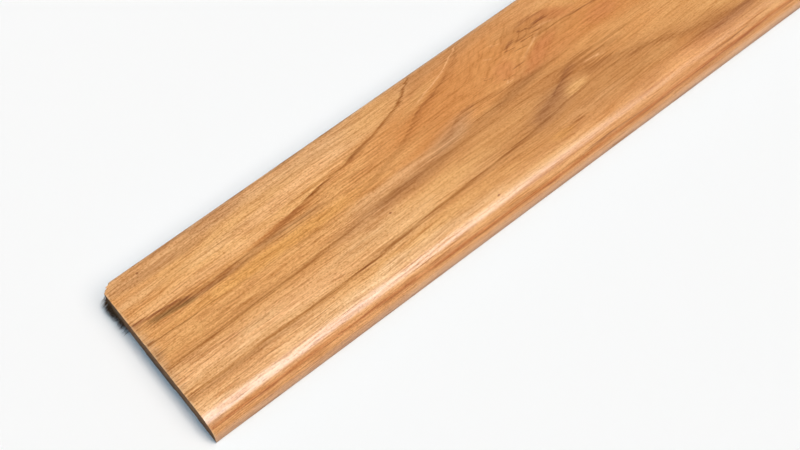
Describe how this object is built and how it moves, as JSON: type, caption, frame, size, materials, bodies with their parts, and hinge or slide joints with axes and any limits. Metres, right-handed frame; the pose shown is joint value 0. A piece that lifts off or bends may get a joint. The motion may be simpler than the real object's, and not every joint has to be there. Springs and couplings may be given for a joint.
{
  "type": "skirting board length",
  "caption": "Straight length of solid wood skirting board with a flat face, a rounded top edge, a square floor edge and a relieved back.",
  "frame": {"origin": "middle of the back face, half way along the board, where the board rests on the floor when it lies face up", "axes": "+X along the grain away from the end with the knocked corner, +Y across the board towards the square floor edge, +Z out of the face"},
  "size_m": [2.4, 0.075, 0.015],
  "materials": {
    "lacquered_wood": "clear satin lacquer over straight and wavy brown grain"
  },
  "bodies": {
    "root": {"skirting_board": "lacquered_wood"}
  },
  "joints": []
}
